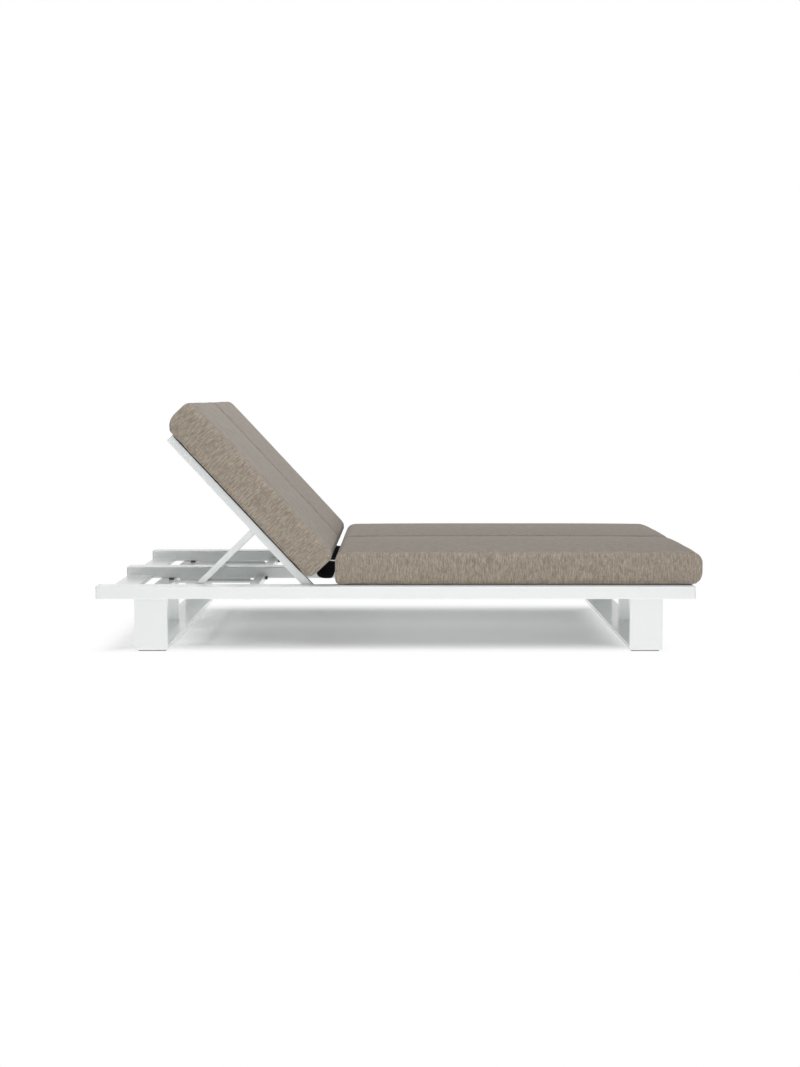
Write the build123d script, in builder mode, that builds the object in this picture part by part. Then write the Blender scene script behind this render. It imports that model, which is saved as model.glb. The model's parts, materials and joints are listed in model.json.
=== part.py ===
from build123d import *

import os
from math import cos, hypot, pi, radians, sin, sqrt

# Double chaise lounger: two reclining places side by side on one low tube frame. Each place has
# a backrest that is hinged between two rails and held up by a bail whose bar stands in a pair of
# toothed racks. Millimetres, +Z up, head end towards -X. A person who lies on it has the right
# place on the -Y side. The origin is on the floor, below the centre of the whole.

# Rails and bays
rail_length = 2000.0
rail_width = 80.0
rail_height = 42.0
rail_top = 220.0
rail_wall = 2.5
rail_corner = 4.0
bay_width = 580.0
cap_thickness = 5.0
cap_plug_length = 18.0
cap_round = 2.5

# Leg frames at the head and the foot
head_leg_inset = 128.0
foot_leg_inset = 108.0
leg_width = 109.0
leg_thickness = 25.0
leg_wall = 2.5
leg_recess = 5.0
leg_round = 9.0
floor_bar_height = 15.0
post_width = 58.0
post_depth = 40.0
glide_height = 5.0
glide_end_inset = 7.5
glide_width = 18.0

# Crossbars, rack carriers and slats of the base frame
head_slat_inset = 8.0
head_slat_width = 88.0
head_slat_height = 14.0
under_drop = 11.0
front_bar_from_head = 483.0
front_bar_width = 32.0
bar_wall = 2.5
carrier_width = 40.0
carrier_height = 8.0
seat_slat_count = 8
seat_slat_width = 90.0
seat_slat_height = 14.0
seat_slat_start = 92.0
seat_slat_end_gap = 6.0
slat_round = 2.0

# Toothed racks
rack_thickness = 5.0
rack_from_head = 202.5
rack_length = 260.5
rack_strip = 8.0
tooth_count = 4
tooth_pitch = 76.7
tooth_start = 16.5
tooth_height = 18.5
tooth_back = 15.0
tooth_tip = 3.0
tooth_hollow_back = 8.3
tooth_hollow_up = 8.3
tooth_lean = 2.5
tooth_foot = 6.0
rest_tooth = 1

# Backrest frames
hinge_from_head = 712.0
back_angle = 47.1
back_length = 692.0
tube_width = 30.0
tube_depth = 28.0
tube_wall = 2.0
tube_round = 3.0
tube_gap = 5.0
tube_plug = 25.0
bottom_rail_at = 60.0
cross_tube_width = 30.0
back_slat_count = 5
back_slat_width = 70.0
back_slat_height = 8.0

# Hinge pins and their bushes
hinge_pin_radius = 5.0
hinge_collar_radius = 8.0
hinge_collar_length = 5.0
hinge_head_radius = 9.0
pin_head_length = 4.0
bush_wall = 1.9
bush_flange_radius = 11.0

# Bails that hold the backrests up
prop_pivot_along = 273.0
prop_pivot_drop = 5.0
prop_arm_width = 20.0
prop_arm_thickness = 8.0
prop_pin_radius = 4.0
prop_collar_radius = 6.0
prop_head_radius = 7.0
prop_bar_radius = 8.0
prop_bar_wall = 2.0

# Rubber stops
pad_inset = 35.0
pad_length = 18.0
pad_width = 16.0
pad_height = 7.0
button_radius = 6.0
button_length = 8.0
button_inset = 8.0
button_drop = 12.0

# Cushions, their black base cloths and the flaps that join them
cushion_overhang = 33.0
cushion_side_inset = 51.0
cushion_half_gap = 0.75
cushion_bulge = 5.0
cushion_waist = 4.0
cushion_rise = 3.0
cushion_crown = 9.0
cushion_end_crown = 2.0
cushion_low_corner = 12.0
cushion_high_corner = 18.0
cushion_plan_corner = 25.0
cushion_end_stations = (0.0, 0.06, 0.2, 0.5, 1.0)
seat_cushion_start = 85.5
seat_cushion_height = 114.0
seat_base_height = 2.5
seat_back_top_round = 40.0
seat_back_low_round = 12.0
seat_foot_top_round = 30.0
seat_foot_low_round = 23.0
back_cushion_start = 24.0
back_cushion_overhang = 46.0
back_cushion_height = 118.0
back_base_height = 4.0
back_low_front_round = 46.0
back_low_rear_round = 30.0
back_head_front_round = 26.0
back_head_rear_round = 40.0
base_inset = 14.0
back_base_end_inset = 4.0
flap_thickness = 2.0
flap_side_inset = 30.0
flap_on_seat = 16.0
flap_on_back = 3.0
flap_sag = 9.0

# Clearances, and how far a hole's cut reaches, as a share of the wall that it goes through
running_clearance = 0.05
through_wall = 1.5
seating_clearance = 0.1
rest_clearance = 0.3
cloth_clearance = 0.4
notch_clearance = 0.5
rack_clearance = 2.0
arm_clearance = 2.0

# Places along the length
x_head = -(rail_length + cushion_overhang) / 2
x_foot = x_head + rail_length
head_leg_x = x_head + head_leg_inset
foot_leg_x = x_foot - foot_leg_inset - leg_width
hinge_x = x_head + hinge_from_head
front_bar_x = x_head + front_bar_from_head
rack_x = x_head + rack_from_head

# Heights
rail_bottom = rail_top - rail_height
rail_middle = rail_top - rail_height / 2
under_bottom = rail_bottom - under_drop
floor_bar_top = glide_height + floor_bar_height
hinge_z = rail_top - tube_depth / 2
support_top = hinge_z - tube_depth / 2 - rest_clearance
carrier_top = under_bottom + carrier_height
notch_floor = carrier_top + rack_strip

# Places across the width, for the place whose middle is at bay_middle
bay_half = bay_width / 2
bay_middle = bay_half + rail_width / 2
outer_rail_y = bay_width + rail_width
outer_face = outer_rail_y + rail_width / 2
leg_outer_face = outer_face - leg_recess
leg_inner_face = leg_outer_face - leg_thickness
tube_inner_offset = tube_gap + tube_width
tube_from_middle = bay_half - tube_gap - tube_width / 2
rack_offset = tube_inner_offset + rack_clearance
rack_from_middle = bay_half - rack_offset - rack_thickness / 2
arm_offset = rack_offset + rack_thickness + arm_clearance
arm_from_middle = bay_half - arm_offset - prop_arm_thickness / 2
between_tubes = bay_half - tube_inner_offset

sides = (("right", -1), ("left", 1))
places = (("outer", 1), ("inner", -1))

# The backrest's own directions at rest: along it towards the head, and out of its front face
back_along = Vector(-cos(radians(back_angle)), 0, sin(radians(back_angle)))
back_out = Vector(sin(radians(back_angle)), 0, cos(radians(back_angle)))
hinge_point = Vector(hinge_x, 0, hinge_z)

# The bail: its pivots on the backrest, its bar in the notch behind the rest tooth, its direction
prop_pivot = hinge_point + back_along * prop_pivot_along - back_out * prop_pivot_drop
bar_x = (rack_x + tooth_start + rest_tooth * tooth_pitch + tooth_lean
         + notch_clearance + prop_bar_radius)
bar_z = notch_floor + prop_bar_radius
prop_length = hypot(bar_x - prop_pivot.X, bar_z - prop_pivot.Z)
prop_along = Vector(bar_x - prop_pivot.X, 0, bar_z - prop_pivot.Z).normalized()


def write_piece(piece, name):
    """Labels a finished piece and writes its file."""
    piece.label = name
    export_step(piece, f"parts/{name}.step")


def across(y):
    """The plane at y that looks along the width, with x along the length and y upwards."""
    return Plane.XZ.offset(-y)


def back_plane(y):
    """The plane at y with x along the backrest and y out of its front face."""
    return Plane(origin=(hinge_x, y, hinge_z), x_dir=back_along, z_dir=(0, 1, 0))


def prop_plane(y):
    """The plane at y with its origin on the bail's pivots and x along its arms."""
    return Plane(origin=(prop_pivot.X, y, prop_pivot.Z), x_dir=prop_along, z_dir=(0, 1, 0))


def axial_plane(point, y_direction):
    """A plane through point with x along the width, for the profile of a turned piece."""
    return Plane(origin=point, x_dir=(0, y_direction, 0), z_dir=(1, 0, 0))


def corner_inset(distance, radius):
    """How far a corner of this radius draws an edge in, at a distance from the end."""
    if distance >= radius:
        return 0.0
    return radius - sqrt(radius**2 - (radius - distance) ** 2)


os.makedirs("parts", exist_ok=True)

# Three rails: rectangular tubes along the whole length. Their walls that face a bay have a hole
# for each hinge pin.
rail_places = (
    ("right_rail", -outer_rail_y, (1,)),
    ("middle_rail", 0.0, (-1, 1)),
    ("left_rail", outer_rail_y, (-1,)),
)
for rail_name, rail_y, bay_faces in rail_places:
    with BuildPart() as rail:
        with BuildSketch(Plane.YZ.offset(x_head + cap_thickness)):
            with Locations((rail_y, rail_middle)):
                RectangleRounded(rail_width, rail_height, rail_corner)
                RectangleRounded(rail_width - 2 * rail_wall, rail_height - 2 * rail_wall,
                                 rail_corner - rail_wall, mode=Mode.SUBTRACT)
        extrude(amount=rail_length - 2 * cap_thickness)
        for facing in bay_faces:
            with BuildSketch(across(rail_y + facing * rail_width / 2)):
                with Locations((hinge_x, hinge_z)):
                    Circle(hinge_pin_radius + running_clearance)
            extrude(amount=through_wall * rail_wall, both=True, mode=Mode.SUBTRACT)
    write_piece(rail.part, rail_name)

# Six moulded caps close the rails: a rounded plate with a plug that fits inside the tube.
with BuildPart() as rail_end_caps:
    for cap_x, inwards in ((x_head, 1), (x_foot, -1)):
        for rail_y in (-outer_rail_y, 0.0, outer_rail_y):
            with BuildSketch(Plane.YZ.offset(cap_x)):
                with Locations((rail_y, rail_middle)):
                    RectangleRounded(rail_width, rail_height, rail_corner)
            extrude(amount=inwards * cap_thickness)
            with BuildSketch(Plane.YZ.offset(cap_x + inwards * cap_thickness)):
                with Locations((rail_y, rail_middle)):
                    RectangleRounded(rail_width - 2 * (rail_wall + seating_clearance),
                                     rail_height - 2 * (rail_wall + seating_clearance),
                                     rail_corner - rail_wall)
            extrude(amount=inwards * cap_plug_length)
    cap_faces = rail_end_caps.faces().filter_by(Axis.X).group_by(Axis.X)
    fillet(cap_faces[0].edges() + cap_faces[-1].edges(), cap_round)
write_piece(rail_end_caps.part, "rail_end_caps")

# Leg frames: at each end a flat bar lies across the floor, a broad plate stands on it under
# each outer rail, and a post stands under the middle rail.
for end, leg_x, post_x in (
    ("head", head_leg_x, head_leg_x),
    ("foot", foot_leg_x, foot_leg_x + leg_width - post_width),
):
    for side, sign in sides:
        with BuildPart() as leg:
            with BuildSketch(Plane.YZ.offset(leg_x)):
                with Locations((sign * (leg_outer_face - leg_thickness / 2),
                                (glide_height + rail_bottom) / 2)):
                    Rectangle(leg_thickness, rail_bottom - glide_height)
            extrude(amount=leg_width)
            lower_edges = leg.edges().filter_by(Axis.X).group_by(Axis.Z)[0].sort_by(Axis.Y)
            fillet(lower_edges[-1] if sign > 0 else lower_edges[0], leg_round)
            with BuildSketch(Plane.XY.offset(rail_bottom)):
                with Locations((leg_x + leg_width / 2,
                                sign * (leg_outer_face - leg_thickness / 2))):
                    Rectangle(leg_width - 2 * leg_wall, leg_thickness - 2 * leg_wall)
            extrude(amount=floor_bar_top - rail_bottom, mode=Mode.SUBTRACT)
        write_piece(leg.part, f"{end}_{side}_leg")

    with BuildPart() as floor_bar:
        with BuildSketch(across(0)):
            with Locations((leg_x + leg_width / 2, glide_height + floor_bar_height / 2)):
                RectangleRounded(leg_width, floor_bar_height, slat_round)
                Rectangle(leg_width - 2 * leg_wall, floor_bar_height - 2 * leg_wall,
                          mode=Mode.SUBTRACT)
        extrude(amount=leg_inner_face, both=True)
    write_piece(floor_bar.part, f"{end}_floor_bar")

    with BuildPart() as middle_post:
        with BuildSketch(Plane.XY.offset(floor_bar_top)):
            with Locations((post_x + post_width / 2, 0)):
                RectangleRounded(post_width, post_depth, slat_round)
                Rectangle(post_width - 2 * leg_wall, post_depth - 2 * leg_wall,
                          mode=Mode.SUBTRACT)
        extrude(amount=rail_bottom - floor_bar_top)
    write_piece(middle_post.part, f"{end}_middle_post")

# Dark plastic glides keep the leg frames off the floor.
with BuildPart() as foot_glides:
    for leg_x in (head_leg_x, foot_leg_x):
        for glide_y in (-leg_inner_face + glide_width / 2, 0.0,
                        leg_inner_face - glide_width / 2):
            with BuildSketch(Plane.XY):
                with Locations((leg_x + leg_width / 2, glide_y)):
                    RectangleRounded(leg_width - 2 * glide_end_inset, glide_width,
                                     glide_width / 4)
            extrude(amount=glide_height)
write_piece(foot_glides.part, "foot_glides")

for side, sign in sides:
    # The head slat carries the head end of the backrest frame when it lies flat.
    with BuildPart() as head_slat:
        with BuildSketch(across(sign * bay_middle)):
            with Locations((x_head + head_slat_inset + head_slat_width / 2,
                            support_top - head_slat_height / 2)):
                RectangleRounded(head_slat_width, head_slat_height, slat_round)
                Rectangle(head_slat_width - 2 * bar_wall, head_slat_height - 2 * bar_wall,
                          mode=Mode.SUBTRACT)
        extrude(amount=bay_half, both=True)
    write_piece(head_slat.part, f"{side}_head_slat")

    # The rear crossbar runs under the rails, from the leg plate to the middle post.
    rear_bar_half = (leg_inner_face - post_depth / 2) / 2
    with BuildPart() as rear_crossbar:
        with BuildSketch(across(sign * (post_depth / 2 + rear_bar_half))):
            with Locations((head_leg_x + post_width / 2, rail_bottom - under_drop / 2)):
                RectangleRounded(post_width, under_drop, slat_round)
                Rectangle(post_width - 2 * bar_wall, under_drop - 2 * bar_wall,
                          mode=Mode.SUBTRACT)
        extrude(amount=rear_bar_half, both=True)
    write_piece(rear_crossbar.part, f"{side}_rear_crossbar")

    # The front crossbar stands between the rails and reaches below them, so its ends are closed.
    front_bar_height = support_top - under_bottom
    with BuildPart() as front_crossbar:
        with BuildSketch(across(sign * bay_middle)):
            with Locations((front_bar_x + front_bar_width / 2,
                            under_bottom + front_bar_height / 2)):
                RectangleRounded(front_bar_width, front_bar_height, slat_round)
        extrude(amount=bay_half, both=True)
        with BuildSketch(across(sign * bay_middle)):
            with Locations((front_bar_x + front_bar_width / 2,
                            under_bottom + front_bar_height / 2)):
                Rectangle(front_bar_width - 2 * bar_wall, front_bar_height - 2 * bar_wall)
        extrude(amount=bay_half - bar_wall, both=True, mode=Mode.SUBTRACT)
    write_piece(front_crossbar.part, f"{side}_front_crossbar")

    # Two flat bars run from the rear crossbar to the front one, each under a rack.
    carrier_start = head_leg_x + post_width
    carrier_length = front_bar_x - carrier_start
    with BuildPart() as rack_carriers:
        for _, way in places:
            with BuildSketch(Plane.YZ.offset(carrier_start)):
                with Locations((sign * (bay_middle + way * rack_from_middle),
                                under_bottom + carrier_height / 2)):
                    RectangleRounded(carrier_width, carrier_height, slat_round)
            extrude(amount=carrier_length)
    write_piece(rack_carriers.part, f"{side}_rack_carriers")

    # Each rack is a plate on edge with four teeth. A tooth is steep towards the foot end, where
    # the bail's bar stands against it, and slopes away towards the head end.
    for place, way in places:
        with BuildPart() as rack:
            with BuildSketch(across(sign * (bay_middle + way * rack_from_middle))):
                with BuildLine():
                    cursor = (rack_x, carrier_top)
                    corner = (rack_x, notch_floor)
                    Line(cursor, corner)
                    cursor = corner
                    for tooth in range(tooth_count):
                        tip_x = rack_x + tooth_start + tooth * tooth_pitch
                        tip_z = notch_floor + tooth_height
                        heel = (tip_x - tooth_back, notch_floor)
                        crest = (tip_x - tooth_tip, tip_z)
                        Line(cursor, heel)
                        ThreePointArc(heel, (tip_x - tooth_hollow_back,
                                             notch_floor + tooth_hollow_up), crest)
                        Line(crest, (tip_x, tip_z))
                        face_foot = (tip_x + tooth_lean, notch_floor + tooth_foot)
                        toe = (tip_x + tooth_lean + tooth_foot, notch_floor)
                        Line((tip_x, tip_z), face_foot)
                        RadiusArc(face_foot, toe, -tooth_foot)
                        cursor = toe
                    Line(cursor, (rack_x + rack_length, notch_floor))
                    Line((rack_x + rack_length, notch_floor), (rack_x + rack_length, carrier_top))
                    Line((rack_x + rack_length, carrier_top), (rack_x, carrier_top))
                make_face()
            extrude(amount=rack_thickness / 2, both=True)
        write_piece(rack.part, f"{side}_{place}_rack")

    # Slats of the seat deck, flush with the tops of the rails.
    slat_first = hinge_x + seat_slat_start + seat_slat_width / 2
    slat_last = x_foot - seat_slat_end_gap - seat_slat_width / 2
    slat_step = (slat_last - slat_first) / (seat_slat_count - 1)
    with BuildPart() as seat_slats:
        for slat in range(seat_slat_count):
            with BuildSketch(across(sign * bay_middle)):
                with Locations((slat_first + slat * slat_step, rail_top - seat_slat_height / 2)):
                    RectangleRounded(seat_slat_width, seat_slat_height, slat_round)
                    Rectangle(seat_slat_width - 2 * bar_wall, seat_slat_height - 2 * bar_wall,
                              mode=Mode.SUBTRACT)
            extrude(amount=bay_half, both=True)
    write_piece(seat_slats.part, f"{side}_seat_slats")

# Rubber stops: a pad under each arm of the folded bails, and a round button where the front
# crossbar meets each rail.
with BuildPart() as rubber_stops:
    for side, sign in sides:
        for place, way in places:
            with BuildSketch(Plane.XY.offset(rail_bottom)):
                with Locations((head_leg_x + pad_inset + pad_length / 2,
                                sign * (bay_middle + way * arm_from_middle))):
                    RectangleRounded(pad_length, pad_width, slat_round)
            extrude(amount=pad_height)
            with BuildSketch(Plane.YZ.offset(front_bar_x + front_bar_width)):
                with Locations((sign * (bay_middle + way * (bay_half - button_inset)),
                                support_top - button_drop)):
                    Circle(button_radius)
            extrude(amount=button_length)
write_piece(rubber_stops.part, "rubber_stops")

# Hinge pins: turned pins fixed in the walls of the rails. A collar sits inside the wall, the
# shank carries the backrest, and a head keeps the backrest on.
with BuildPart() as hinge_pins:
    for side, sign in sides:
        for place, way in places:
            wall_y = sign * (bay_middle + way * bay_half)
            pin_plane = axial_plane((hinge_x, wall_y, hinge_z), -sign * way)
            collar_face = -rail_wall - seating_clearance
            head_face = tube_inner_offset + rest_clearance
            with BuildSketch(pin_plane):
                with BuildLine():
                    Polyline(
                        (collar_face - hinge_collar_length, 0),
                        (collar_face - hinge_collar_length, hinge_collar_radius),
                        (collar_face, hinge_collar_radius),
                        (collar_face, hinge_pin_radius),
                        (head_face, hinge_pin_radius),
                        (head_face, hinge_head_radius),
                        (head_face + pin_head_length, hinge_head_radius),
                        (head_face + pin_head_length, 0),
                        close=True,
                    )
                make_face()
            revolve(axis=Axis((hinge_x, wall_y, hinge_z), (0, 1, 0)))
write_piece(hinge_pins.part, "hinge_pins")


def cushion(base, length, width, height, start_high, start_low, end_high, end_low):
    """A boxed cushion on a base plane whose normal runs along the cushion.

    Its underside is flat, its sides bulge and are drawn in between the corners, and its top is
    crowned both ways. The four radii round its ends, at the top and at the underside.
    """
    largest = max(start_high, start_low, end_high, end_low, cushion_plan_corner)
    near_ends = [share * largest for share in cushion_end_stations]
    stations = near_ends + [length / 4, length / 2, 3 * length / 4]
    stations += [length - distance for distance in reversed(near_ends)]
    cut = 1 - cos(radians(45))
    with BuildPart() as body:
        for station in stations:
            swell = sin(pi * station / length)
            from_end = min(station, length - station)
            half = (width / 2 - cushion_bulge - cushion_waist * swell
                    - corner_inset(from_end, cushion_plan_corner))
            low = max(corner_inset(station, start_low), corner_inset(length - station, end_low))
            high = height + cushion_rise * swell - max(
                corner_inset(station, start_high), corner_inset(length - station, end_high))
            crown = cushion_end_crown + (cushion_crown - cushion_end_crown) * swell
            low_cut = cushion_low_corner * cut
            high_cut = cushion_high_corner * cut
            with BuildSketch(base.offset(station)):
                with BuildLine():
                    Line((-half + cushion_low_corner, low), (half - cushion_low_corner, low))
                    for hand in (1, -1):
                        ThreePointArc(
                            (hand * (half - cushion_low_corner), low),
                            (hand * (half - low_cut), low + low_cut),
                            (hand * half, low + cushion_low_corner),
                        )
                        ThreePointArc(
                            (hand * half, low + cushion_low_corner),
                            (hand * (half + cushion_bulge), (low + high) / 2),
                            (hand * half, high - cushion_high_corner),
                        )
                        ThreePointArc(
                            (hand * half, high - cushion_high_corner),
                            (hand * (half - high_cut), high - high_cut),
                            (hand * (half - cushion_high_corner), high),
                        )
                    ThreePointArc(
                        (half - cushion_high_corner, high),
                        (0, high + crown),
                        (-half + cushion_high_corner, high),
                    )
                make_face()
        loft(ruled=True)
    return body.part


cushion_outer = outer_face - cushion_side_inset
cushion_width = cushion_outer - cushion_half_gap
cushion_y = (cushion_outer + cushion_half_gap) / 2
seat_start_x = hinge_x + seat_cushion_start
seat_length = x_foot + cushion_overhang - seat_start_x
seat_bottom = rail_top + seat_base_height
back_bottom = tube_depth / 2 + cloth_clearance + back_base_height
back_cushion_end = back_length + back_cushion_overhang
back_cushion_length = back_cushion_end - back_cushion_start

for side, sign in sides:
    # Seat cushion, on a black base cloth that lies on the slats and the rails.
    seat_plane = Plane(origin=(seat_start_x, sign * cushion_y, seat_bottom),
                       x_dir=(0, 1, 0), z_dir=(1, 0, 0))
    write_piece(
        cushion(seat_plane, seat_length, cushion_width, seat_cushion_height,
                seat_back_top_round, seat_back_low_round,
                seat_foot_top_round, seat_foot_low_round),
        f"{side}_seat_cushion",
    )

    with BuildPart() as seat_base:
        with BuildSketch(Plane.XY.offset(rail_top)):
            with Locations((seat_start_x + seat_length / 2, sign * cushion_y)):
                RectangleRounded(seat_length - 2 * base_inset - seat_foot_low_round,
                                 cushion_width - 2 * base_inset, cushion_plan_corner / 2)
        extrude(amount=seat_base_height)
    write_piece(seat_base.part, f"{side}_seat_base")

    # Hinge flap: the black cloth that hangs between the two cushions, over the hinge line.
    flap_back_low = (hinge_point + back_along * (back_cushion_start - cloth_clearance)
                     + back_out * (back_bottom + back_low_rear_round + flap_on_back))
    flap_back_high = flap_back_low + back_out * flap_thickness
    flap_seat_x = seat_start_x - cloth_clearance
    flap_seat_z = seat_bottom + flap_on_seat
    flap_middle_x = (flap_back_low.X + flap_seat_x) / 2
    flap_middle_z = (flap_back_low.Z + flap_seat_z) / 2 - flap_sag
    with BuildPart() as hinge_flap:
        with BuildSketch(across(sign * cushion_y)):
            with BuildLine():
                ThreePointArc((flap_back_low.X, flap_back_low.Z), (flap_middle_x, flap_middle_z),
                              (flap_seat_x, flap_seat_z))
                Line((flap_seat_x, flap_seat_z), (flap_seat_x, flap_seat_z + flap_thickness))
                ThreePointArc((flap_seat_x, flap_seat_z + flap_thickness),
                              (flap_middle_x, flap_middle_z + flap_thickness),
                              (flap_back_high.X, flap_back_high.Z))
                Line((flap_back_high.X, flap_back_high.Z), (flap_back_low.X, flap_back_low.Z))
            make_face()
        extrude(amount=cushion_width / 2 - flap_side_inset, both=True)
    write_piece(hinge_flap.part, f"{side}_hinge_flap")

# Backrests: each has two side tubes with rounded lower ends that turn on the hinge pins, a top
# and a bottom cross tube, slats, the bushes of its hinges and the pins of its bail.
for side, sign in sides:
    for place, way in places:
        tube_y = sign * (bay_middle + way * tube_from_middle)
        tube_inner_y = sign * (bay_middle + way * between_tubes)
        with BuildPart() as back_tube:
            with BuildSketch(back_plane(tube_y)):
                with Locations((back_length / 2, 0)):
                    Rectangle(back_length, tube_depth)
                Circle(tube_depth / 2)
            extrude(amount=tube_width / 2, both=True)
            fillet(back_tube.faces().filter_by(Axis.Y).edges(), tube_round)
            with BuildSketch(back_plane(tube_y)):
                with Locations(((tube_plug + back_length - tube_wall) / 2, 0)):
                    Rectangle(back_length - tube_wall - tube_plug, tube_depth - 2 * tube_wall)
            extrude(amount=tube_width / 2 - tube_wall, both=True, mode=Mode.SUBTRACT)
            with BuildSketch(back_plane(tube_y)):
                Circle(hinge_pin_radius + bush_wall + 2 * running_clearance)
            extrude(amount=tube_width, both=True, mode=Mode.SUBTRACT)
            with BuildSketch(back_plane(tube_inner_y)):
                with Locations((prop_pivot_along, -prop_pivot_drop)):
                    Circle(prop_pin_radius + running_clearance)
            extrude(amount=through_wall * tube_wall, both=True, mode=Mode.SUBTRACT)
        write_piece(back_tube.part, f"{side}_back_{place}_tube")

    for cross_name, cross_at in (
        ("top_rail", back_length - cross_tube_width / 2),
        ("bottom_rail", bottom_rail_at),
    ):
        with BuildPart() as cross_tube:
            with BuildSketch(back_plane(sign * bay_middle)):
                with Locations((cross_at, 0)):
                    RectangleRounded(cross_tube_width, tube_depth, tube_round)
                    Rectangle(cross_tube_width - 2 * tube_wall, tube_depth - 2 * tube_wall,
                              mode=Mode.SUBTRACT)
            extrude(amount=between_tubes, both=True)
        write_piece(cross_tube.part, f"{side}_back_{cross_name}")

    slat_room = back_length - bottom_rail_at - 1.5 * cross_tube_width
    slat_space = (slat_room - back_slat_count * back_slat_width) / (back_slat_count + 1)
    with BuildPart() as back_slats:
        for slat in range(back_slat_count):
            slat_at = (bottom_rail_at + cross_tube_width / 2 + slat_space + back_slat_width / 2
                       + slat * (slat_space + back_slat_width))
            with BuildSketch(back_plane(sign * bay_middle)):
                with Locations((slat_at, tube_depth / 2 - back_slat_height / 2)):
                    RectangleRounded(back_slat_width, back_slat_height, slat_round)
            extrude(amount=between_tubes, both=True)
    write_piece(back_slats.part, f"{side}_back_slats")

    with BuildPart() as hinge_bushes:
        for place, way in places:
            wall_y = sign * (bay_middle + way * bay_half)
            bore = hinge_pin_radius + running_clearance
            flange_end = tube_gap - seating_clearance
            with BuildSketch(axial_plane((hinge_x, wall_y, hinge_z), -sign * way)):
                with BuildLine():
                    Polyline(
                        (rest_clearance, bore),
                        (rest_clearance, bush_flange_radius),
                        (flange_end, bush_flange_radius),
                        (flange_end, bore + bush_wall),
                        (tube_inner_offset, bore + bush_wall),
                        (tube_inner_offset, bore),
                        close=True,
                    )
                make_face()
            revolve(axis=Axis((hinge_x, wall_y, hinge_z), (0, 1, 0)))
    write_piece(hinge_bushes.part, f"{side}_hinge_bushes")

    with BuildPart() as prop_pins:
        for place, way in places:
            face_y = sign * (bay_middle + way * between_tubes)
            collar_face = -tube_wall - seating_clearance
            head_face = (rack_clearance + rack_thickness + arm_clearance + prop_arm_thickness
                         + rest_clearance)
            pin_point = (prop_pivot.X, face_y, prop_pivot.Z)
            with BuildSketch(axial_plane(pin_point, -sign * way)):
                with BuildLine():
                    Polyline(
                        (collar_face - pin_head_length, 0),
                        (collar_face - pin_head_length, prop_collar_radius),
                        (collar_face, prop_collar_radius),
                        (collar_face, prop_pin_radius),
                        (head_face, prop_pin_radius),
                        (head_face, prop_head_radius),
                        (head_face + pin_head_length, prop_head_radius),
                        (head_face + pin_head_length, 0),
                        close=True,
                    )
                make_face()
            revolve(axis=Axis(pin_point, (0, 1, 0)))
    write_piece(prop_pins.part, f"{side}_prop_pins")

    # Back cushion, on a black base cloth over the slats that stops just short of the tubes' ends.
    back_base_start = back_cushion_start + back_low_rear_round
    back_base_end = back_length - back_base_end_inset
    with BuildPart() as back_base:
        with BuildSketch(back_plane(sign * cushion_y)):
            with Locations(((back_base_start + back_base_end) / 2,
                            back_bottom - back_base_height / 2)):
                Rectangle(back_base_end - back_base_start, back_base_height)
        extrude(amount=cushion_width / 2 - base_inset, both=True)
    write_piece(back_base.part, f"{side}_back_base")

    back_cushion_origin = (hinge_point + back_along * back_cushion_start
                           + back_out * back_bottom + Vector(0, sign * cushion_y, 0))
    write_piece(
        cushion(Plane(origin=back_cushion_origin, x_dir=(0, -1, 0), z_dir=back_along),
                back_cushion_length, cushion_width, back_cushion_height,
                back_low_front_round, back_low_rear_round,
                back_head_front_round, back_head_rear_round),
        f"{side}_back_cushion",
    )

# Bails: two flat arms that turn on the backrest and a round bar that joins their lower ends.
# The bar ends just short of the racks, so that it can pass their teeth when the backrest turns.
for side, sign in sides:
    for place, way in places:
        with BuildPart() as prop_arm:
            with BuildSketch(prop_plane(sign * (bay_middle + way * arm_from_middle))):
                with Locations((prop_length / 2, 0)):
                    SlotCenterToCenter(prop_length, prop_arm_width)
                Circle(prop_pin_radius + running_clearance, mode=Mode.SUBTRACT)
                with Locations((prop_length, 0)):
                    Circle(prop_bar_radius + running_clearance, mode=Mode.SUBTRACT)
            extrude(amount=prop_arm_thickness / 2, both=True)
        write_piece(prop_arm.part, f"{side}_prop_{place}_arm")

    with BuildPart() as prop_bar:
        with BuildSketch(prop_plane(sign * bay_middle)):
            with Locations((prop_length, 0)):
                Circle(prop_bar_radius)
                Circle(prop_bar_radius - prop_bar_wall, mode=Mode.SUBTRACT)
        extrude(amount=bay_half - rack_offset - rack_thickness - notch_clearance, both=True)
    write_piece(prop_bar.part, f"{side}_prop_bar")
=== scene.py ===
import json
from math import cos, pi, radians, sin, tanh

import bmesh
import bpy
from mathutils import Matrix, Vector


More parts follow.
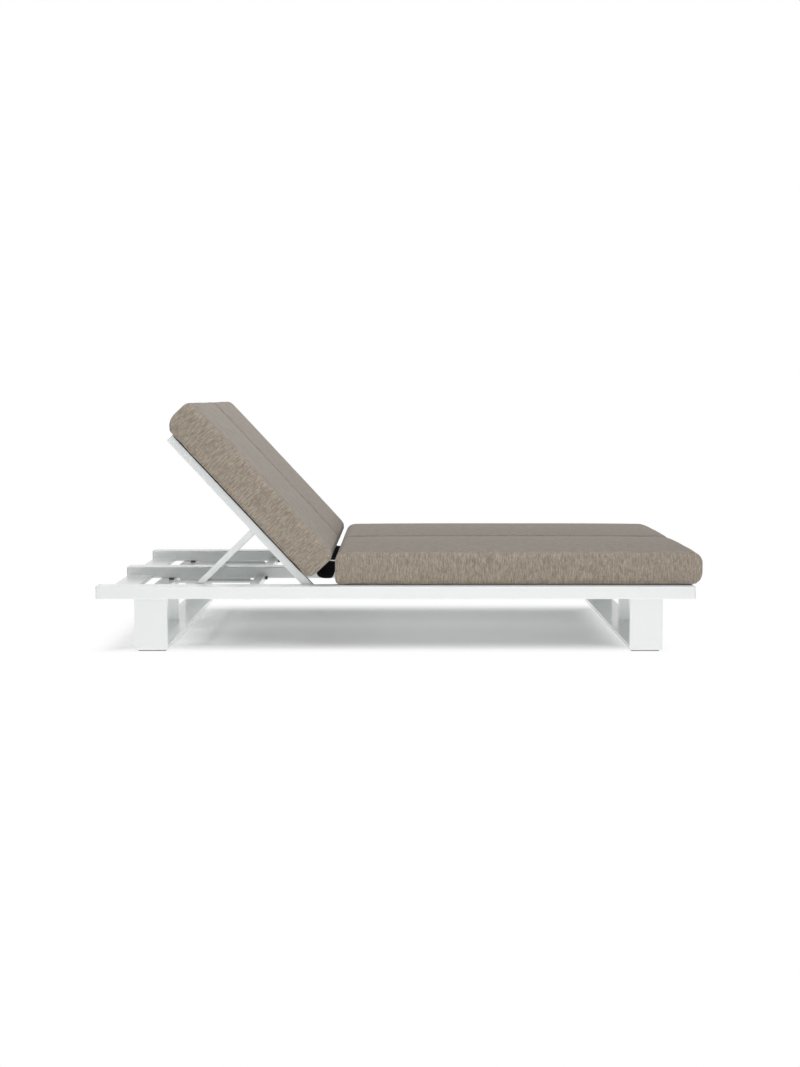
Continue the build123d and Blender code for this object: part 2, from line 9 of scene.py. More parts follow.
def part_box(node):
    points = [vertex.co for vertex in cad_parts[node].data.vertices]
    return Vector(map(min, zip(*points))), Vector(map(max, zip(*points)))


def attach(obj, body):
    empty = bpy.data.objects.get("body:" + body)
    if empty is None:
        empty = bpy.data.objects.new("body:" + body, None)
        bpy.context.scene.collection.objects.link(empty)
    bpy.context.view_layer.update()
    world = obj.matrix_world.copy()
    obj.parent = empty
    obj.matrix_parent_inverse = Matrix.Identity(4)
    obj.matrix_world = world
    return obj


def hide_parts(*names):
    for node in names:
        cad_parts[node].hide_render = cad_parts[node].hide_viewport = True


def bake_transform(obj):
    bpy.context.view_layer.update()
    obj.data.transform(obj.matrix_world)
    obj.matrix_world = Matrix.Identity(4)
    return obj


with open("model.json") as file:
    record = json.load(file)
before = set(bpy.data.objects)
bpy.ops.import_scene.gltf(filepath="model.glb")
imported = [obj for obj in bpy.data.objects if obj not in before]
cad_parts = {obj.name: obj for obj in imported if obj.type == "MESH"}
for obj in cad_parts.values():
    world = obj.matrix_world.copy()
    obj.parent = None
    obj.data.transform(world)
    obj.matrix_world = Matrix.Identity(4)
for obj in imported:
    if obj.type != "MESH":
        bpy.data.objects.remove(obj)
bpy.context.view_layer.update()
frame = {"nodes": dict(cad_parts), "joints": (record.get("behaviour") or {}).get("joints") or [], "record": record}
scene = bpy.context.scene

# Lengths are in metres, or in millimetres where the name says so.

# Camera. The photograph looks level across the lounger from its right side, from just above the
# top of the raised backrests, with one vanishing point at the middle of its width.
camera_place = (-0.0019, -6.355, 0.852)
camera_dip = radians(4.595)
picture_side_mm = 36.0
lens_mm = 57.637

camera_data = bpy.data.cameras.new("camera")
camera_data.sensor_fit = "VERTICAL"
camera_data.sensor_height = picture_side_mm
camera_data.sensor_width = picture_side_mm
camera_data.lens = lens_mm
camera = bpy.data.objects.new("camera", camera_data)
camera.location = camera_place
camera.rotation_euler = (pi / 2 - camera_dip, 0, 0)
scene.collection.objects.link(camera)
scene.camera = camera


def linear(hex_colour):
    """An sRGB hex value as the linear red, green, blue and alpha that a shader takes."""
    shares = [int(hex_colour[at:at + 2], 16) / 255 for at in (1, 3, 5)]
    return (*[s / 12.92 if s <= 0.04045 else ((s + 0.055) / 1.055) ** 2.4 for s in shares], 1.0)


def add(material, kind, settings=None, links=None):
    """Adds a node to a material or world. A setting in lower case is an attribute, and any other
    an input by name or number; a link leads to an input from (node, output)."""
    node = material.node_tree.nodes.new(kind)
    for name, value in (settings or {}).items():
        if isinstance(name, str) and name.islower():
            setattr(node, name, value)
        else:
            node.inputs[name].default_value = value
    for name, (source, output) in (links or {}).items():
        material.node_tree.links.new(source.outputs[output], node.inputs[name])
    return node


def new_material(name):
    """A material with no nodes yet."""
    material = bpy.data.materials.new(name)
    material.use_nodes = True
    material.node_tree.nodes.clear()
    return material


def add_relief(material, height, strength, depth):
    """A bump that follows a node's first output, with its depth in metres."""
    return add(material, "ShaderNodeBump", {"Strength": strength, "Distance": depth},
               {"Height": (height, 0)})


def add_surface(material, settings, links):
    """The surface that an opaque material ends with."""
    surface = add(material, "ShaderNodeBsdfPrincipled", settings, links)
    add(material, "ShaderNodeOutputMaterial", None, {"Surface": (surface, 0)})


# Frame. Rectangular aluminium tubes, welded and ground flush, then powder coated in a slightly
# cool white. The baked coat is satin, with a fine orange peel, and mirrors what lies along it.
powder_white = "#edefee"
powder_shade = "#e6eae9"
powder_peel_mm = 1.4
powder_peel_relief = (0.06, 0.0002)
powder_cloud_mm = 160.0
powder_gloss = (0.15, 0.2)
powder_ior = 1.5

slot_nodes = {}
for subpart in frame["record"]["subparts"]:
    slot_nodes.setdefault(subpart["material_slot"], []).append(subpart["node"])


def dress(names, material):
    """Gives CAD nodes a material in place of their own."""
    for name in names:
        node = frame["nodes"][name]
        node.data.materials.clear()
        node.data.materials.append(material)


def make_powder_coat():
    """White polyester powder coat: satin, a little cool, mirroring at a low angle."""
    coat = new_material("white_powder_coat")
    place = (add(coat, "ShaderNodeTexCoord"), "Object")
    cloud = add(coat, "ShaderNodeTexNoise", {"Scale": 1000 / powder_cloud_mm}, {"Vector": place})
    peel = add(coat, "ShaderNodeTexNoise", {"Scale": 1000 / powder_peel_mm, "Detail": 1.0},
               {"Vector": place})
    colour = add(coat, "ShaderNodeMix",
                 {"data_type": "RGBA", 6: linear(powder_shade), 7: linear(powder_white)},
                 {0: (cloud, 0)})
    gloss = add(coat, "ShaderNodeMapRange", {"To Min": powder_gloss[0], "To Max": powder_gloss[1]},
                {"Value": (cloud, 0)})
    skin = add_relief(coat, peel, *powder_peel_relief)
    add_surface(coat, {"IOR": powder_ior},
                {"Base Color": (colour, 2), "Roughness": (gloss, 0), "Normal": (skin, 0)})
    return coat


dress(slot_nodes["frame_paint"], make_powder_coat())

# End caps. Injection-moulded polypropylene in the frame's white, pushed into the rails' ends.
# They are a touch greyer and more matt than the coated metal, with a fine spark texture.
cap_white = "#e9ebea"
cap_texture_mm = 0.6
cap_roughness = 0.42
moulded_relief = (0.15, 0.0001)
moulded_flow_share = 40
moulded_dark_share = 0.8
moulded_gloss_spread = 0.06
moulded_ior = 1.49


def make_moulded(name, hex_colour, texture_mm, roughness):
    """A moulded plastic or rubber in one colour, with the fine texture of its mould."""
    plastic = new_material(name)
    place = (add(plastic, "ShaderNodeTexCoord"), "Object")
    texture = add(plastic, "ShaderNodeTexNoise", {"Scale": 1000 / texture_mm, "Detail": 2.0},
                  {"Vector": place})
    flow = add(plastic, "ShaderNodeTexNoise", {"Scale": 1000 / (moulded_flow_share * texture_mm)},
               {"Vector": place})
    colour = linear(hex_colour)
    darker = (*[moulded_dark_share * c for c in colour[:3]], 1.0)
    tint = add(plastic, "ShaderNodeMix", {"data_type": "RGBA", 6: colour, 7: darker},
               {0: (flow, 0)})
    skin = add_relief(plastic, texture, *moulded_relief)
    gloss = add(plastic, "ShaderNodeMapRange", {"To Min": roughness - moulded_gloss_spread,
                                                "To Max": roughness + moulded_gloss_spread},
                {"Value": (flow, 0)})
    add_surface(plastic, {"IOR": moulded_ior},
                {"Base Color": (tint, 2), "Roughness": (gloss, 0), "Normal": (skin, 0)})
    return plastic


dress(slot_nodes["cap_plastic"],
      make_moulded("moulded_white_polypropylene", cap_white, cap_texture_mm, cap_roughness))

# Glides, bushes and stops. The glides and bushes are moulded nylon, in charcoal and in black. The
# pads and buttons that quieten the frame are rubber that has dulled to a dark grey.
glide_charcoal = "#3a3b3c"
bush_black = "#26272a"
nylon_texture_mm = 0.8
glide_roughness = 0.5
bush_roughness = 0.38
rubber_grey = "#505255"
rubber_texture_mm = 1.2
rubber_roughness = 0.75

dress(slot_nodes["glide_plastic"],
      make_moulded("charcoal_nylon", glide_charcoal, nylon_texture_mm, glide_roughness))
dress(slot_nodes["bush_plastic"],
      make_moulded("black_nylon", bush_black, nylon_texture_mm, bush_roughness))
dress(slot_nodes["black_rubber"],
      make_moulded("dulled_black_rubber", rubber_grey, rubber_texture_mm, rubber_roughness))

# Pins. Stainless steel rod turned on a lathe, which leaves fine rings round its heads and runs
# of fine lines round its shank.
pin_steel = "#c9c9c6"
turning_mm = 0.35
turning_runs_per_metre = 30.0
turning_relief = (0.1, 0.0001)
steel_gloss = (0.22, 0.38)


def make_turned_steel():
    """Turned stainless steel, whose fine rings stretch its highlights."""
    steel = new_material("turned_stainless_steel")
    place = (add(steel, "ShaderNodeTexCoord"), "Object")
    runs = turning_runs_per_metre
    along = add(steel, "ShaderNodeMapping", {"Scale": (runs, 1000 / turning_mm, runs)},
                {"Vector": place})
    rings = add(steel, "ShaderNodeTexNoise", {"Scale": 1.0, "Detail": 1.0}, {"Vector": (along, 0)})
    gloss = add(steel, "ShaderNodeMapRange",
                {"To Min": steel_gloss[0], "To Max": steel_gloss[1]}, {"Value": (rings, 0)})
    skin = add_relief(steel, rings, *turning_relief)
    add_surface(steel, {"Base Color": linear(pin_steel), "Metallic": 1.0},
                {"Roughness": (gloss, 0), "Normal": (skin, 0)})
    return steel


dress(slot_nodes["pin_steel"], make_turned_steel())

# Cushions. Firm foam in a cover of heather taupe outdoor cloth, acrylic coloured in solution
# before it is spun, with slub yarns: upright on the sides and ends, along the cushion on its top.
# Its sides are painted lighter and its top and ends darker and greyer: painted light and shade.
# Its own weight presses the underside flat, and a seam joins the cover to the underside a little
# way up.
# The side yarns are painted lighter and the panel yarns darker and greyer: lit and shaded copies of one cloth,
# painted light and shade.
side_yarns_painted_light = ("#92887b", "#a79c8f", "#beb4a6")
panel_yarns_painted_shade = ("#8b847d", "#9a938c", "#a8a199")
slub_width_mm = 4.2
slub_length_mm = 26.0
fleck_width_mm = 2.8
fleck_length_mm = 9.0
fleck_share = 0.42
thread_mm = 1.3
dye_stops = (0.37, 0.5, 0.67)
side_facing = (0.1, 0.97)
heather_relief = 0.6
weave_relief = (0.35, 0.0006)
cloth_roughness = 0.95
cloth_specular_level = 0.12
cloth_ior = 1.45

voxel_size = 0.009
sim_quality = 3
sim_frames = 20
sim_pressure = 4.0
shoulder_round = 0.028
side_waist = 0.004
pressed_flat = 0.005
end_cap = 0.004
side_cap = 0.0045
crown_cap = 0.007
seam_height = 0.0065
seam_half_width = 0.002
seam_depth = 0.004
end_round_steps = 8
shoulder_steps = 6
same_place = 1e-6
side_normal = 0.9
cut_tolerance = 1e-5

sides = ("right", "left")
hinge = next(joint for joint in frame["joints"] if joint["name"] == "right_back_hinge")
back_angle = radians(-hinge["range_deg"][0])
hinge_x, _, hinge_z = hinge["pos_m"]
back_along = Vector((-cos(back_angle), 0, sin(back_angle)))
back_out = Vector((sin(back_angle), 0, cos(back_angle)))


def make_cover_cloth(name, tilt):
    """Heather acrylic cloth, very matt with its loose fibres. The band round the cushion has its
    yarns upright, and the top panel has them along its length. The sides are painted lighter and
    the top and ends darker and greyer: painted light and shade. tilt lays the pattern along a
    backrest."""
    cloth = new_material(name)
    coordinates = add(cloth, "ShaderNodeTexCoord")
    lie = add(cloth, "ShaderNodeMapping", {"Rotation": (0, tilt, 0)},
              {"Vector": (coordinates, "Object")})
    facing_parts = add(cloth, "ShaderNodeSeparateXYZ", None, {0: (coordinates, "Normal")})
    side_share = add(cloth, "ShaderNodeMath", {"operation": "ABSOLUTE"}, {0: (facing_parts, 1)})
    on_side = add(cloth, "ShaderNodeMapRange",
                  {"interpolation_type": "SMOOTHSTEP", "From Min": side_facing[0],
                   "From Max": side_facing[1]}, {"Value": (side_share, 0)})

    def yarns(width_mm, length_mm, detail):
        """Noise drawn out along the yarns, on the top and the ends, and on the sides."""
        wide, long = 1000 / width_mm, 1000 / length_mm
        noises = []
        for scale in ((long, wide, long), (wide, long, long)):
            drawn = add(cloth, "ShaderNodeMapping", {"Scale": scale}, {"Vector": (lie, 0)})
            noises.append(add(cloth, "ShaderNodeTexNoise", {"Scale": 1.0, "Detail": detail},
                              {"Vector": (drawn, 0)}))
        return add(cloth, "ShaderNodeMix", None,
                   {0: (on_side, 0), 2: (noises[0], 0), 3: (noises[1], 0)})

    def heather_with_painted_shade(shades):
        """The heather mix in dark, mean and light yarns, with the painted light and shade given."""
        ramp = add(cloth, "ShaderNodeValToRGB", None, {0: (heather, 0)})
        stops = ramp.color_ramp.elements
        stops[0].position, stops[0].color = dye_stops[0], linear(shades[0])
        stops[1].position, stops[1].color = dye_stops[2], linear(shades[2])
        middle = stops.new(dye_stops[1])
        middle.color = linear(shades[1])
        return ramp

    slubs = yarns(slub_width_mm, slub_length_mm, 2.0)
    flecks = yarns(fleck_width_mm, fleck_length_mm, 1.0)
    threads = yarns(thread_mm, thread_mm, 0.0)
    heather = add(cloth, "ShaderNodeMix", {0: fleck_share}, {2: (slubs, 0), 3: (flecks, 0)})
    # Faces turned sideways take the lighter yarns and the rest the darker, greyer ones: painted light and shade by
    # which way a face turns.
    colour = add(cloth, "ShaderNodeMix", {"data_type": "RGBA"},
                 {0: (on_side, 0), 6: (heather_with_painted_shade(panel_yarns_painted_shade), 0), 7: (heather_with_painted_shade(side_yarns_painted_light), 0)})
    height = add(cloth, "ShaderNodeMath", {"operation": "MULTIPLY_ADD", 1: heather_relief},
                 {0: (heather, 0), 2: (threads, 0)})
    weave = add_relief(cloth, height, *weave_relief)
    add_surface(cloth, {"Roughness": cloth_roughness, "Diffuse Roughness": 1.0, "IOR": cloth_ior,
                        "Specular IOR Level": cloth_specular_level},
                {"Base Color": (colour, 2), "Normal": (weave, 0)})
    return cloth


def make_piece(name, shape, material):
    """Turns a bmesh into an object of the scene, smooth all over."""
    for face in shape.faces:
        face.smooth = True
    mesh = bpy.data.meshes.new(name)
    shape.to_mesh(mesh)
    shape.free()
    mesh.materials.append(material)
    piece = bpy.data.objects.new(name, mesh)
    scene.collection.objects.link(piece)
    return piece


def bake_modifiers(piece):
    """Applies a piece's modifiers to its mesh."""
    graph = bpy.context.evaluated_depsgraph_get()
    old = piece.data
    piece.data = bpy.data.meshes.new_from_object(piece.evaluated_get(graph))
    piece.modifiers.clear()
    bpy.data.meshes.remove(old)


def foam_block(length, half_width, height, end_rounds):
    """A block of foam from 0 to length along x, with its underside at z 0. end_rounds are the
    radii at its start below, its end below, its end on top and its start on top."""
    shape = bmesh.new()
    bmesh.ops.create_cube(shape, size=1.0)
    bmesh.ops.translate(shape, verts=shape.verts, vec=(0.5, 0, 0.5))
    bmesh.ops.scale(shape, verts=shape.verts, vec=(length, 2 * half_width, height))
    corners = ((0, 0), (length, 0), (length, height), (0, height))
    for (x, z), radius in zip(corners, end_rounds):
        edge = next(e for e in shape.edges
                    if all(abs(v.co.x - x) < same_place and abs(v.co.z - z) < same_place
                           for v in e.verts))
        bmesh.ops.bevel(shape, geom=[edge], offset=radius, offset_type="OFFSET", affect="EDGES",
                        segments=end_round_steps, profile=0.5, material=-1)
    outline = [e for e in shape.edges
               if abs(e.verts[0].co.y - e.verts[1].co.y) < same_place
               and any(abs(f.normal.y) > side_normal for f in e.link_faces)]
    bmesh.ops.bevel(shape, geom=outline, offset=shoulder_round, offset_type="OFFSET",
                    affect="EDGES", segments=shoulder_steps, profile=0.5, material=-1,
                    clamp_overlap=True)
    return shape


def swell(piece, length, half_width, height, crown):
    """Fills a cover. The block gets its crown and its drawn-in sides, cloth over it is blown up
    from inside, and how far each point moves is capped along it, across it and upwards."""
    remesh = piece.modifiers.new("remesh", "REMESH")
    remesh.mode = "VOXEL"
    remesh.voxel_size = voxel_size
    bake_modifiers(piece)
    for vertex in piece.data.vertices:
        x, y, z = vertex.co
        along, across = 2 * x / length - 1, y / half_width
        vertex.co.z += crown * (1 - along ** 4) * (1 - across ** 2) * max(z, 0.0) / height
        vertex.co.y -= side_waist * across * (1 - along ** 2)
    rest = [vertex.co.copy() for vertex in piece.data.vertices]
    cover = piece.modifiers.new("cover", "CLOTH")
    cover.settings.quality = sim_quality
    cover.settings.use_pressure = True
    cover.settings.uniform_pressure_force = sim_pressure
    cover.settings.effector_weights.gravity = 0.0
    cover.point_cache.frame_start = 1
    cover.point_cache.frame_end = sim_frames
    for step in range(1, sim_frames + 1):
        scene.frame_set(step)
    bake_modifiers(piece)
    scene.frame_set(1)
    for vertex, start in zip(piece.data.vertices, rest):
        move = vertex.co - start
        vertex.co = start + Vector([cap * tanh(part / cap) for part, cap in
                                    zip(move, (end_cap, side_cap, crown_cap))])


def finish_cover(piece, spans):
    """Rounds the cover off, lays its underside flat, brings it back to the size that its pattern
    gives along x, y and z, and sews the seam round it."""
    smooth = piece.modifiers.new("smooth", "SUBSURF")
    smooth.levels = smooth.render_levels = 1
    bake_modifiers(piece)
    shape = bmesh.new()
    shape.from_mesh(piece.data)
    for vert in shape.verts:
        vert.co.z = max(vert.co.z, 0.0)
    for axis, (low, high) in enumerate(spans):
        least = min(vert.co[axis] for vert in shape.verts)
        stretch = (high - low) / (max(vert.co[axis] for vert in shape.verts) - least)
        for vert in shape.verts:
            vert.co[axis] = low + (vert.co[axis] - least) * stretch
    for height in (seam_height - seam_half_width, seam_height + seam_half_width, seam_height):
        cut = bmesh.ops.bisect_plane(shape, geom=[*shape.verts, *shape.edges, *shape.faces],
                                     dist=cut_tolerance, plane_co=(0, 0, height),
                                     plane_no=(0, 0, 1))
    shape.normal_update()
    seam = [item for item in cut["geom_cut"] if isinstance(item, bmesh.types.BMVert)]
    for vert, inwards in [(vert, -vert.normal * seam_depth) for vert in seam]:
        vert.co += inwards
    shape.to_mesh(piece.data)
    shape.free()


def make_cushion(name, length, half_width, height, foam_height, crown, end_rounds, material):
    """A cushion on its own axes, filled and sewn. height is that of its crown, and foam_height
    that of its sides."""
    shape = foam_block(length - 2 * end_cap, half_width - side_cap, foam_height + pressed_flat,
                       end_rounds)
    bmesh.ops.translate(shape, verts=shape.verts, vec=(end_cap, 0, -pressed_flat))
    piece = make_piece(name, shape, material)
    swell(piece, length, half_width, foam_height, crown)
    finish_cover(piece, ((0, length), (-half_width, half_width), (0, height)))
    return piece


def lay_cushion(name, pattern, mirrored, place):
    """A cushion made after another one, or its mirror image, and set in its place."""
    mesh = pattern.data.copy()
    if mirrored:
        mesh.transform(Matrix.Diagonal((1, -1, 1, 1)))
        mesh.flip_normals()
    mesh.transform(place)
    mesh.shade_smooth()
    piece = bpy.data.objects.new(name, mesh)
    scene.collection.objects.link(piece)
    return piece


def back_place(middle_y, along, out):
    """Where a backrest's axes start, this far along it from the hinge and out from its middle."""
    foot = Vector((hinge_x, middle_y, hinge_z)) + back_along * along + back_out * out
    turn = Matrix((back_along, (0, -1, 0), back_out)).transposed().to_4x4()
    return Matrix.Translation(foot) @ turn


# Each cushion's sizes on its own axes, which start at the seat's head end or the backrest's foot.
seat_foam_height = 0.107
seat_height = 0.1235
seat_crown = 0.016
seat_start = 0.0835
back_foam_height = 0.118
back_height = 0.130
back_crown = 0.007
back_start = 0.024
back_end = 0.738
back_bottom = 0.0184
seat_rounds = (0.012, 0.038, 0.030, 0.030)
back_rounds = (0.032, 0.056, 0.016, 0.022)

seat_low, seat_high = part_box("right_seat_cushion")
cushion_half_width = (seat_high.y - seat_low.y) / 2
seat_pattern = make_cushion("seat_pattern", seat_high.x - hinge_x - seat_start,
                            cushion_half_width, seat_height, seat_foam_height, seat_crown,
                            seat_rounds, make_cover_cloth("heather_acrylic_on_seat", 0.0))
back_pattern = make_cushion("back_pattern", back_end - back_start, cushion_half_width,
                            back_height, back_foam_height, back_crown, back_rounds,
                            make_cover_cloth("heather_acrylic_on_back", -back_angle))
cushion_middles = {}
for side in sides:
    low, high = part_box(f"{side}_seat_cushion")
    cushion_middles[side] = (low.y + high.y) / 2
    seat = lay_cushion(f"{side}_seat_cover", seat_pattern, side == "left",
                       Matrix.Translation((hinge_x + seat_start, cushion_middles[side], low.z)))
    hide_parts(f"{side}_seat_cushion")
    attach(seat, "frame")
    back = lay_cushion(f"{side}_back_cover", back_pattern, side == "left",
                       back_place(cushion_middles[side], back_start, back_bottom))
    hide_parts(f"{side}_back_cushion")
    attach(back, f"{side}_backrest")
for pattern in (seat_pattern, back_pattern):
    bpy.data.objects.remove(pattern)

# Base cloths. Black polyester mesh, coated with vinyl and woven open, lies stretched between
# each cushion and the slats under it. Its edge shows as a thin black line, which is partly
# painted shade for the gap under the cushion.
mesh_black_and_painted_shade = "#17171a"
mesh_gap_painted_shade = "#060607"
mesh_pitch_mm = 2.4
mesh_relief = (0.4, 0.0005)
mesh_roughness = 0.6
mesh_ior = 1.5
wave_bands_per_unit = 10 / pi
base_thickness = {"seat": 0.0022, "back": 0.0036}
base_corner = 0.03
base_corner_steps = 6
base_edge_share = 1 / 3
back_base_span = (0.054, 0.688)
# The base cloth comes this close to the cushion's edge so that its black edge shows as a line of painted shade.
base_inset = 0.006


def make_vinyl_mesh(name, tilt):
    """Vinyl-coated polyester mesh: fine crossing threads with the gaps between them painted near
    black as painted shade, drawn a little coarser than the real 1.5 mm so that they show."""
    vinyl = new_material(name)
    place = (add(vinyl, "ShaderNodeTexCoord"), "Object")
    lie = add(vinyl, "ShaderNodeMapping", {"Rotation": (0, tilt, 0)}, {"Vector": place})
    waves = [add(vinyl, "ShaderNodeTexWave",
                 {"bands_direction": axis, "Scale": 1000 / mesh_pitch_mm / wave_bands_per_unit},
                 {"Vector": (lie, 0)}) for axis in ("X", "Y")]
    weave = add(vinyl, "ShaderNodeMath", {"operation": "MAXIMUM"},
                {0: (waves[0], 1), 1: (waves[1], 1)})
    # The gaps between the threads take the near black of painted shade.
    colour = add(vinyl, "ShaderNodeMix",
                 {"data_type": "RGBA", 6: linear(mesh_gap_painted_shade), 7: linear(mesh_black_and_painted_shade)},
                 {0: (weave, 0)})
    skin = add_relief(vinyl, weave, *mesh_relief)
    add_surface(vinyl, {"Roughness": mesh_roughness, "IOR": mesh_ior},
                {"Base Color": (colour, 2), "Normal": (skin, 0)})
    return vinyl


def make_base(name, length, width, thickness, material):
    """A stretched sheet of mesh from 0 to length along x, with its top at z 0, round corners and
    an edge that is folded over and heat sealed."""
    shape = bmesh.new()
    bmesh.ops.create_grid(shape, x_segments=1, y_segments=1, size=0.5)
    bmesh.ops.translate(shape, verts=shape.verts, vec=(0.5, 0, 0))
    bmesh.ops.scale(shape, verts=shape.verts, vec=(length, width, 1))
    bmesh.ops.bevel(shape, geom=shape.verts[:], offset=base_corner, offset_type="OFFSET",
                    affect="VERTICES", segments=base_corner_steps, profile=0.5, material=-1)
    piece = make_piece(name, shape, material)
    wall = piece.modifiers.new("wall", "SOLIDIFY")
    wall.thickness, wall.offset = thickness, -1.0
    edge = piece.modifiers.new("edge", "BEVEL")
    edge.width, edge.segments = thickness * base_edge_share, 2
    bake_modifiers(piece)
    return piece


def lay_base(piece, place, side, part, body):
    """Sets a base cloth on its slats."""
    piece.data.transform(place)
    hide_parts(f"{side}_{part}_base")
    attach(piece, body)


seat_mesh_cloth = make_vinyl_mesh("black_vinyl_mesh_and_painted_shade_on_seat", 0.0)
back_mesh_cloth = make_vinyl_mesh("black_vinyl_mesh_and_painted_shade_on_back", -back_angle)
for side in sides:
    low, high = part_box(f"{side}_seat_base")
    width = 2 * (cushion_half_width - base_inset)
    length = high.x - low.x
    base = make_base(f"{side}_seat_mesh", length, width, base_thickness["seat"], seat_mesh_cloth)
    lay_base(base, Matrix.Translation((low.x, (low.y + high.y) / 2, high.z)),
             side, "seat", "frame")
    length = back_base_span[1] - back_base_span[0]
    base = make_base(f"{side}_back_mesh", length, width, base_thickness["back"], back_mesh_cloth)
    lay_base(base, back_place(cushion_middles[side], back_base_span[0], back_bottom),
             side, "back", f"{side}_backrest")

# Hinge flaps. A strip of black polyester cloth joins each seat cushion to its back cushion. It
# is sewn to both and hangs slack between them over the hinge. On the seat's side it stands up
# against the cushion's end. Its black is partly painted shade, for the deep shade between the
# cushions.
flap_black_and_painted_shade = "#121214"
flap_worn_black_and_painted_shade = "#1c1c1f"
flap_thread_mm = 1.2
flap_wear_mm = 40.0
flap_relief = (0.3, 0.0004)
flap_roughness = 0.9
flap_diffuse_roughness = 0.8
flap_specular_level = 0.2
flap_thickness = 0.0016
flap_back_along = 0.0236
flap_back_out = 0.0524
flap_seat_height = 0.079
flap_low_height = 0.034
flap_low_share = 0.3
flap_fullness = 0.62
flap_ripple = 0.0012
flap_ripple_length = 0.09
flap_steps = (20, 96)


def make_flap_cloth():
    """Black woven polyester, matt, with fine threads and a faint greying that varies at random.
    Its black is partly painted shade, for the deep shade in the gap between the cushions.
    """
    cloth = new_material("black_polyester_cloth_and_painted_shade")
    place = (add(cloth, "ShaderNodeTexCoord"), "Object")
    threads = add(cloth, "ShaderNodeTexNoise", {"Scale": 1000 / flap_thread_mm, "Detail": 1.0},
                  {"Vector": place})
    wear = add(cloth, "ShaderNodeTexNoise", {"Scale": 1000 / flap_wear_mm}, {"Vector": place})
    # The flap's near black is partly painted shade for the gap between the cushions; the greying varies at random.
    colour = add(cloth, "ShaderNodeMix",
                 {"data_type": "RGBA", 6: linear(flap_black_and_painted_shade), 7: linear(flap_worn_black_and_painted_shade)},
                 {0: (wear, 0)})
    skin = add_relief(cloth, threads, *flap_relief)
    add_surface(cloth, {"Roughness": flap_roughness, "Diffuse Roughness": flap_diffuse_roughness,
                        "Specular IOR Level": flap_specular_level},
                {"Base Color": (colour, 2), "Normal": (skin, 0)})
    return cloth


flap_cloth = make_flap_cloth()
for side in sides:
    low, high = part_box(f"{side}_hinge_flap")
    middle_y = (low.y + high.y) / 2
    seat_edge = Vector((hinge_x + seat_start - flap_thickness, middle_y,
                        hinge_z + flap_seat_height))
    back_edge = (Vector((hinge_x, middle_y, hinge_z)) + back_along * flap_back_along
                 + back_out * flap_back_out)
    low_x = seat_edge.x + (back_edge.x - seat_edge.x) * flap_low_share
    low_z = hinge_z + flap_low_height
    shape = bmesh.new()
    bmesh.ops.create_grid(shape, x_segments=flap_steps[0], y_segments=flap_steps[1], size=0.5)
    for vert in shape.verts:
        turn, across = pi * (vert.co.x + 0.5), vert.co.y * (high.y - low.y)
        edge = seat_edge if turn < pi / 2 else back_edge
        ripple = flap_ripple * sin(2 * pi * across / flap_ripple_length + turn) * sin(turn)
        vert.co = Vector((low_x + (edge.x - low_x) * abs(cos(turn)) ** flap_fullness,
                          middle_y + across, edge.z - (edge.z - low_z) * sin(turn) - ripple))
    bmesh.ops.recalc_face_normals(shape, faces=shape.faces)
    flap = make_piece(f"{side}_flap_cloth", shape, flap_cloth)
    wall = flap.modifiers.new("wall", "SOLIDIFY")
    wall.thickness, wall.offset = flap_thickness, 0.0
    bake_modifiers(flap)
    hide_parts(f"{side}_hinge_flap")
    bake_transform(flap)

# Studio. A white floor that runs out to a white background, a dome of even light, one large soft
# lamp overhead and long low lamps round the floor. None of it is part of the lounger. The floor
# is clear from below, and its shadow fades out at the lounger's edges, as in the photograph. The
# camera and glossy surfaces see the floor and the dome white; the light that they give off is
# dimmer, so that the white metal keeps its shading.
floor_size = 60.0
floor_grey = "#c8c8c8"
floor_own_glow = 0.5
floor_seen_base = 0.05
floor_seen_share = 1.1
floor_shadow_middle = (-0.07, -0.05, 0.0)
floor_shadow_reach = ((0.72, 1.0), (0.4, 0.7))
dome_strength = 0.13
overhead_size = 3.5
overhead_place = (0.1, -0.8, 3.4)
overhead_watts = 114.0
strip_length = 4.0
strip_height = 0.1
strip_distance = 5.0
strip_lift = 0.2
strip_watts = (74.0, 27.0, 77.0, 18.0)


def seen_rays(material):
    """1 for a ray from the camera, or one that a glossy or clear surface passes on, and else 0."""
    rays = add(material, "ShaderNodeLightPath")
    mirrored = add(material, "ShaderNodeMath", {"operation": "MAXIMUM"},
                   {0: (rays, "Is Camera Ray"), 1: (rays, "Is Glossy Ray")})
    return add(material, "ShaderNodeMath", {"operation": "MAXIMUM"},
               {0: (mirrored, 0), 1: (rays, "Is Transmission Ray")})


world = bpy.data.worlds.new("studio")
world.use_nodes = True
scene.world = world
world.node_tree.nodes.clear()
dome_level = add(world, "ShaderNodeMapRange", {"To Min": dome_strength, "To Max": 1.0},
                 {"Value": (seen_rays(world), 0)})
dome = add(world, "ShaderNodeBackground", {"Color": (1.0, 1.0, 1.0, 1.0)},
           {"Strength": (dome_level, 0)})
add(world, "ShaderNodeOutputWorld", None, {"Surface": (dome, 0)})

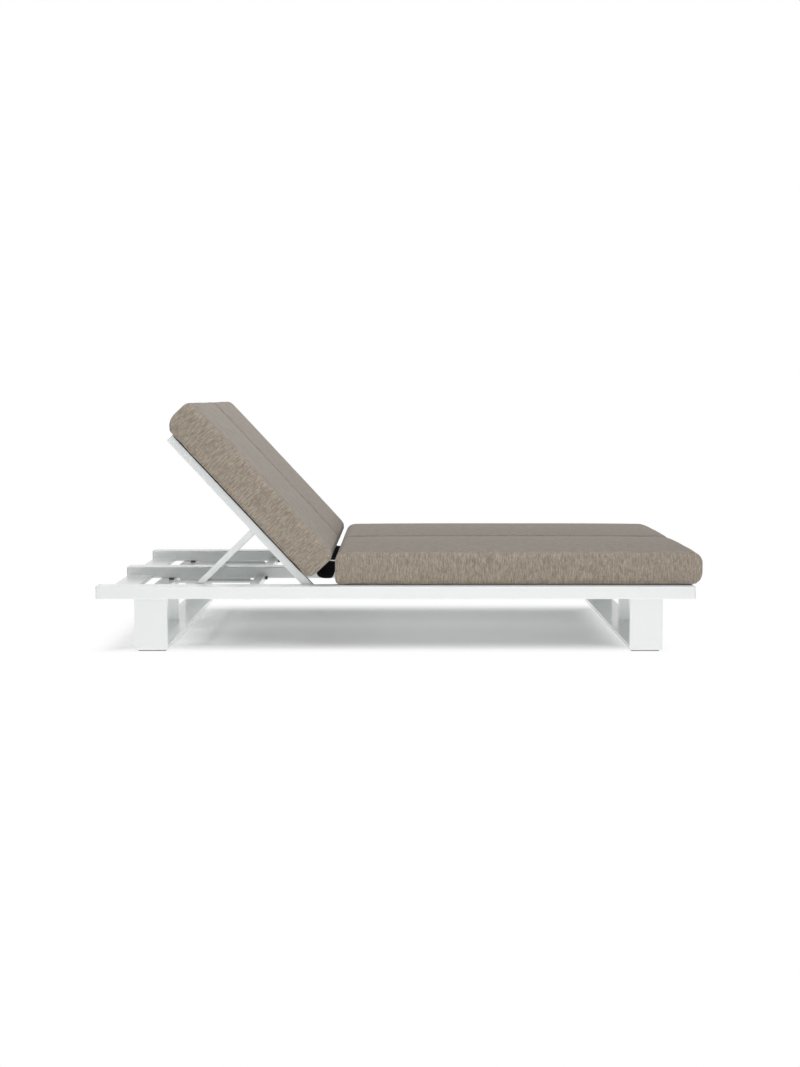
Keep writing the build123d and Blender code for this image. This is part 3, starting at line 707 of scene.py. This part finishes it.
floor_paint = new_material("white_floor")
floor_place = add(floor_paint, "ShaderNodeTexCoord")
floor_offset = add(floor_paint, "ShaderNodeVectorMath",
                   {"operation": "SUBTRACT", 1: floor_shadow_middle},
                   {0: (floor_place, "Object")})
floor_away = add(floor_paint, "ShaderNodeVectorMath", {"operation": "ABSOLUTE"},
                 {0: (floor_offset, 0)})
floor_parts = add(floor_paint, "ShaderNodeSeparateXYZ", None, {0: (floor_away, 0)})
floor_fades = [add(floor_paint, "ShaderNodeMapRange",
                   {"interpolation_type": "SMOOTHSTEP", "From Min": start, "From Max": end},
                   {"Value": (floor_parts, axis)})
               for axis, (start, end) in enumerate(floor_shadow_reach)]
floor_far = add(floor_paint, "ShaderNodeMath", {"operation": "MAXIMUM"},
                {0: (floor_fades[0], 0), 1: (floor_fades[1], 0)})
floor_matt = add(floor_paint, "ShaderNodeBsdfDiffuse", {"Color": linear(floor_grey)})
floor_glow = add(floor_paint, "ShaderNodeEmission", {"Strength": floor_own_glow})
floor_unseen = add(floor_paint, "ShaderNodeAddShader", None,
                   {0: (floor_matt, 0), 1: (floor_glow, 0)})
floor_lit = add(floor_paint, "ShaderNodeBsdfDiffuse", {"Color": (*[floor_seen_share] * 3, 1.0)})
floor_base = add(floor_paint, "ShaderNodeEmission", {"Strength": floor_seen_base})
floor_near = add(floor_paint, "ShaderNodeAddShader", None,
                 {0: (floor_lit, 0), 1: (floor_base, 0)})
floor_white_out = add(floor_paint, "ShaderNodeEmission", {"Strength": 1.0})
floor_seen = add(floor_paint, "ShaderNodeMixShader", None,
                 {0: (floor_far, 0), 1: (floor_near, 0), 2: (floor_white_out, 0)})
floor_surface = add(floor_paint, "ShaderNodeMixShader", None,
                    {0: (seen_rays(floor_paint), 0), 1: (floor_unseen, 0), 2: (floor_seen, 0)})
floor_side = add(floor_paint, "ShaderNodeNewGeometry")
floor_clear = add(floor_paint, "ShaderNodeBsdfTransparent")
floor_from_above = add(floor_paint, "ShaderNodeMixShader", None,
                       {0: (floor_side, "Backfacing"), 1: (floor_surface, 0), 2: (floor_clear, 0)})
add(floor_paint, "ShaderNodeOutputMaterial", None, {"Surface": (floor_from_above, 0)})

floor_shape = bmesh.new()
bmesh.ops.create_grid(floor_shape, x_segments=1, y_segments=1, size=floor_size / 2)
make_piece("floor", floor_shape, floor_paint)


def add_lamp(name, place, size, watts, turn):
    """An even rectangular lamp that neither the camera nor a glossy surface shows."""
    data = bpy.data.lights.new(name, "AREA")
    data.shape = "RECTANGLE"
    data.size, data.size_y = size
    data.energy = watts
    lamp = bpy.data.objects.new(name, data)
    lamp.location = place
    lamp.rotation_euler = turn
    lamp.visible_camera = False
    lamp.visible_glossy = False
    scene.collection.objects.link(lamp)


add_lamp("overhead_lamp", overhead_place, (overhead_size, overhead_size), overhead_watts, (0, 0, 0))
for number, watts in enumerate(strip_watts):
    bearing = number * pi / 2
    add_lamp(f"strip_lamp_{number + 1}",
             (strip_distance * sin(bearing), -strip_distance * cos(bearing), strip_lift),
             (strip_length, strip_height), watts, (pi / 2, 0, bearing))

scene.view_settings.view_transform = "Standard"
